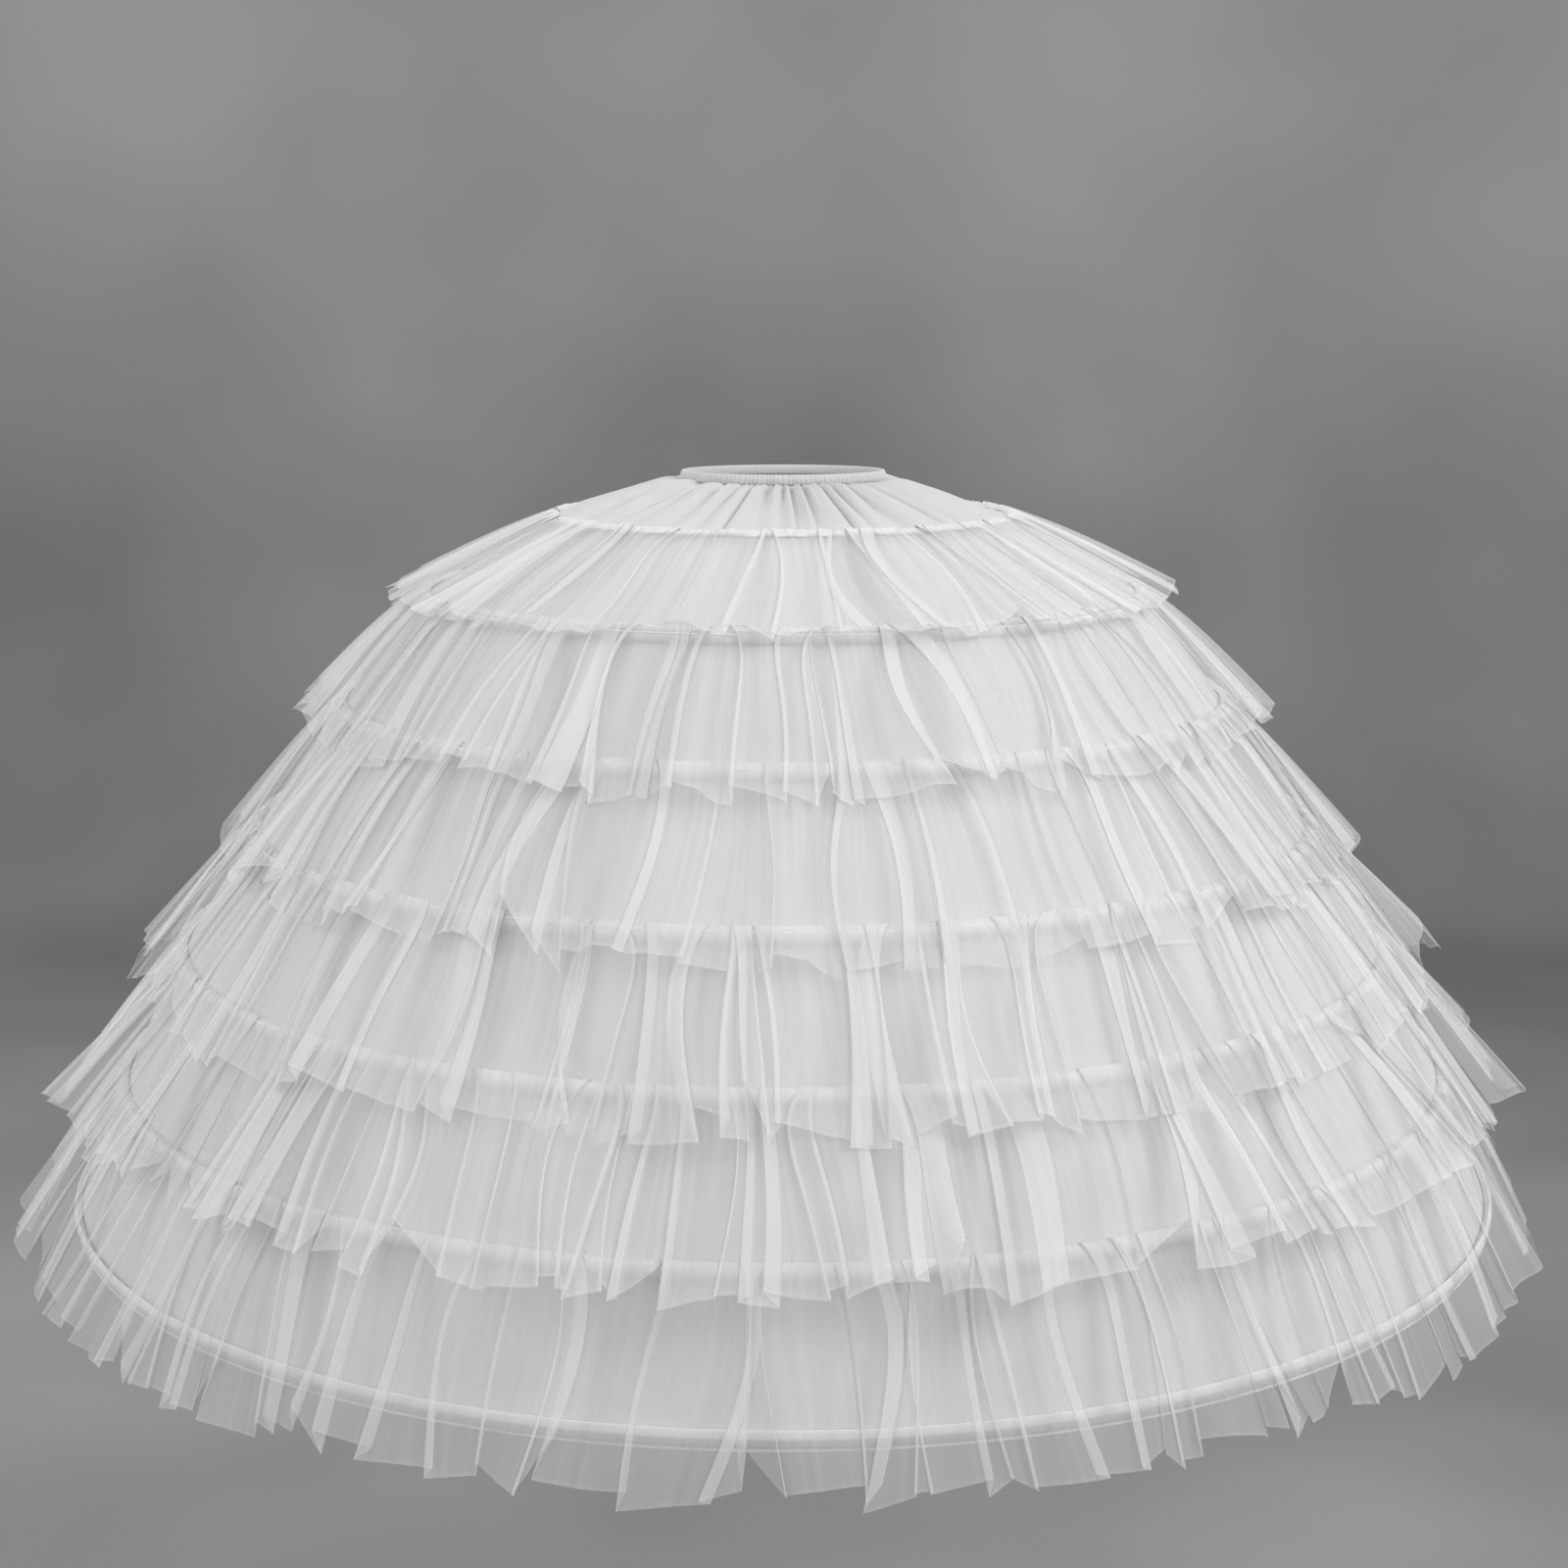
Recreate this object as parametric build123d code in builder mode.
"""Hooped crinoline petticoat: six hoops in sewn casings under six gathered flounces.

Origin at the middle of the waist opening, level with the top edge of the waist casing.
+Z is up the wearer's body, -Y is the wearer's front, and the skirt hangs down along -Z.
Sizes are in mm. Cloth solids are thicker than the cloth: they hold the space it takes up.
"""
import os
from math import atan2, cos, degrees, radians, sin

from build123d import *

# ---- waist ----
waist_width = 244  # outside of the casing, side to side
waist_depth = 184  # outside of the casing, front to back
waist_casing_height = 12
waist_casing_wall = 0.9
elastic_height = 8
elastic_thickness = 1.8
elastic_clearance = 0.4

# ---- yoke and base skirt ----
seam_radius = 276  # seam between the gathered yoke and the base skirt
seam_drop = 55
yoke_wall = 6  # measured level, so the sloping cloth is about a quarter of it
base_wall = 2  # measured level
gore_count = 6

# ---- hoops, from the top one to the one at the hem ----
hoop_radii = [432, 531, 635, 724, 797, 855]
hoop_drops = [150, 277, 424, 564, 716, 858]
hoop_width = 10
hoop_thickness = 2.5
hoop_end_gap = 2
joiner_length = 44
joiner_wall = 0.8
joiner_clearance = 0.3

# ---- hoop casings: a doubled tape, stitched above and below its channel ----
casing_height = 24
casing_flange = 4
casing_wall = 0.8
casing_clearance = 0.3
casing_play = 0.6  # room across the width of the hoop's joiner

# ---- flounces, from the top one to the one at the hem ----
flounce_hem_radii = [472, 575, 677, 776, 868, 915]
flounce_hem_drops = [138, 291, 444, 588, 718, 893]
flounce_top_wall = 4
flounce_hem_wall = 9
flounce_clearance = 0.3
first_heading = 20  # how much of the first flounce lies flat below the yoke seam

joiner_width = hoop_width + 2 * (joiner_clearance + joiner_wall)
joiner_thickness = hoop_thickness + 2 * (joiner_clearance + joiner_wall)
channel_width = joiner_width + 2 * casing_play
channel_thickness = joiner_thickness + 2 * casing_clearance
casing_thickness = channel_thickness + 2 * casing_wall
channel_middle = casing_clearance + casing_thickness / 2

os.makedirs("parts", exist_ok=True)


def save(piece, name):
    """Label a finished piece and write its STEP file."""
    piece.part.label = name
    export_step(piece.part, f"parts/{name}.step")


def radial_plane(turn):
    """Upright plane through the axis: its X runs outwards at this turn, its Y runs up."""
    out = Vector(cos(radians(turn)), sin(radians(turn)), 0)
    return Plane(origin=(0, 0, 0), x_dir=out, z_dir=out.cross(Vector(0, 0, 1)))


def along(start, end):
    """Unit directions of a sloping run: down the slope, and square to it outwards."""
    slope = atan2(end[1] - start[1], end[0] - start[0])
    return (cos(slope), sin(slope)), (-sin(slope), cos(slope))


def station(place, run, down, out):
    """Point of the half section, down the slope and out from the cloth at a place."""
    ahead, outward = run
    return (
        place[0] + down * ahead[0] + out * outward[0],
        place[1] + down * ahead[1] + out * outward[1],
    )


# ---- the line that the base skirt follows, as (radius, height) of its outside ----
seam = (seam_radius, -seam_drop)
hoop_places = [(r, -d) for r, d in zip(hoop_radii, hoop_drops)]
stops = [seam, *hoop_places]
hoop_runs = [along(stops[i], stops[min(i + 2, len(stops) - 1)]) for i in range(len(hoop_places))]
base_margin = casing_height / 2 + 2
base_line = [seam]
for place, run in zip(hoop_places, hoop_runs):
    base_line.append(station(place, run, -base_margin, 0))
    base_line.append(station(place, run, base_margin, 0))

# ---- waist casing, a folded tube of cloth with elastic inside ----
casing_depth = elastic_thickness + 2 * (elastic_clearance + waist_casing_wall)
channel_inset = waist_casing_wall
channel_depth = elastic_thickness + 2 * elastic_clearance
channel_height = elastic_height + 2 * elastic_clearance


def waist_ring(inset, depth):
    """Oval ring in the current sketch, set in from the waist casing's outside."""
    Ellipse(waist_width / 2 - inset, waist_depth / 2 - inset)
    Ellipse(waist_width / 2 - inset - depth, waist_depth / 2 - inset - depth, mode=Mode.SUBTRACT)


with BuildPart() as waist_casing:
    with BuildSketch(Plane.XY.offset(-waist_casing_height)):
        waist_ring(0, casing_depth)
    extrude(amount=waist_casing_height)
    with BuildSketch(Plane.XY.offset(-(waist_casing_height + channel_height) / 2)):
        waist_ring(channel_inset, channel_depth)
    extrude(amount=channel_height, mode=Mode.SUBTRACT)
save(waist_casing, "waist_casing")

with BuildPart() as waist_elastic:
    with BuildSketch(Plane.XY.offset(-(waist_casing_height + elastic_height) / 2)):
        waist_ring(channel_inset + elastic_clearance, elastic_thickness)
    extrude(amount=elastic_height)
save(waist_elastic, "waist_elastic")

# ---- yoke, gathered plain cloth from the waist out to the first flounce ----
with BuildPart() as yoke:
    with BuildSketch(Plane.XY.offset(-waist_casing_height)):
        Ellipse(waist_width / 2, waist_depth / 2)
    with BuildSketch(Plane.XY.offset(-seam_drop)):
        Circle(seam_radius)
    loft(ruled=True)
    with BuildSketch(Plane.XY.offset(-waist_casing_height)):
        Ellipse(waist_width / 2 - yoke_wall, waist_depth / 2 - yoke_wall)
    with BuildSketch(Plane.XY.offset(-seam_drop)):
        Circle(seam_radius - yoke_wall)
    loft(ruled=True, mode=Mode.SUBTRACT)
save(yoke, "yoke")

# ---- base skirt, equal gores sewn side by side ----
gore_sweep = 360 / gore_count
base_inside = [(r - base_wall, z) for r, z in reversed(base_line)]
for i in range(gore_count):
    with BuildPart() as gore:
        with BuildSketch(radial_plane(i * gore_sweep)):
            with BuildLine():
                Polyline(*base_line, *base_inside, close=True)
            make_face()
        revolve(axis=Axis.Z, revolution_arc=gore_sweep)
    save(gore, f"base_gore_{i + 1}")


def section(place, run, corners, mode=Mode.ADD):
    """Closed outline in the current sketch, its corners given down and out from a place."""
    Polygon(*[station(place, run, down, out) for down, out in corners], align=None, mode=mode)


def block(width, thickness, middle):
    """Corners of a flat section that lies along the slope, its middle out from the cloth."""
    half, depth = width / 2, thickness / 2
    return [(-half, middle - depth), (half, middle - depth), (half, middle + depth), (-half, middle + depth)]


# ---- hoops, their casings and the sleeves that join their ends, at the back ----
back = 90
edge, shoulder = casing_height / 2, casing_height / 2 - casing_flange
tape_inside, tape_outside = casing_clearance, casing_clearance + casing_thickness
tape_section = [
    (-edge, tape_inside),
    (edge, tape_inside),
    (edge, tape_inside + 2 * casing_wall),
    (shoulder, tape_outside),
    (-shoulder, tape_outside),
    (-edge, tape_inside + 2 * casing_wall),
]
for number, (place, run) in enumerate(zip(hoop_places, hoop_runs), start=1):
    with BuildPart() as casing:
        with BuildSketch(radial_plane(back)):
            section(place, run, tape_section)
            section(place, run, block(channel_width, channel_thickness, channel_middle), Mode.SUBTRACT)
        revolve(axis=Axis.Z)
    save(casing, f"hoop_casing_{number}")

    gap_turn = degrees(hoop_end_gap / place[0])
    with BuildPart() as hoop:
        with BuildSketch(radial_plane(back + gap_turn / 2)):
            section(place, run, block(hoop_width, hoop_thickness, channel_middle))
        revolve(axis=Axis.Z, revolution_arc=360 - gap_turn)
    save(hoop, f"hoop_{number}")

    joiner_turn = degrees(joiner_length / place[0])
    bore_width = hoop_width + 2 * joiner_clearance
    bore_thickness = hoop_thickness + 2 * joiner_clearance
    with BuildPart() as joiner:
        with BuildSketch(radial_plane(back - joiner_turn / 2)):
            section(place, run, block(joiner_width, joiner_thickness, channel_middle))
            section(place, run, block(bore_width, bore_thickness, channel_middle), Mode.SUBTRACT)
        revolve(axis=Axis.Z, revolution_arc=joiner_turn)
    save(joiner, f"hoop_joiner_{number}")

# ---- flounces, each sewn on over a casing and standing away from the skirt at its hem ----
first_run = along(seam, (flounce_hem_radii[0], -flounce_hem_drops[0]))
first_place = station(seam, first_run, first_heading / 2, 0)
headings = [(first_place, first_run, first_heading / 2, flounce_clearance)]
for place, run in zip(hoop_places[:-1], hoop_runs[:-1]):
    headings.append((place, run, edge, tape_outside + flounce_clearance))

for number, (place, run, half, lift) in enumerate(headings, start=1):
    hem = (flounce_hem_radii[number - 1], -flounce_hem_drops[number - 1])
    _, outward = along(place, hem)
    hem_inside = (hem[0] - flounce_hem_wall * outward[0], hem[1] - flounce_hem_wall * outward[1])
    with BuildPart() as flounce:
        with BuildSketch(radial_plane(0)):
            with BuildLine():
                Polyline(
                    station(place, run, -half, lift),
                    station(place, run, half, lift),
                    hem_inside,
                    hem,
                    station(place, run, half, lift + flounce_top_wall),
                    station(place, run, -half, lift + flounce_top_wall),
                    close=True,
                )
            make_face()
        revolve(axis=Axis.Z)
    save(flounce, f"flounce_{number}")
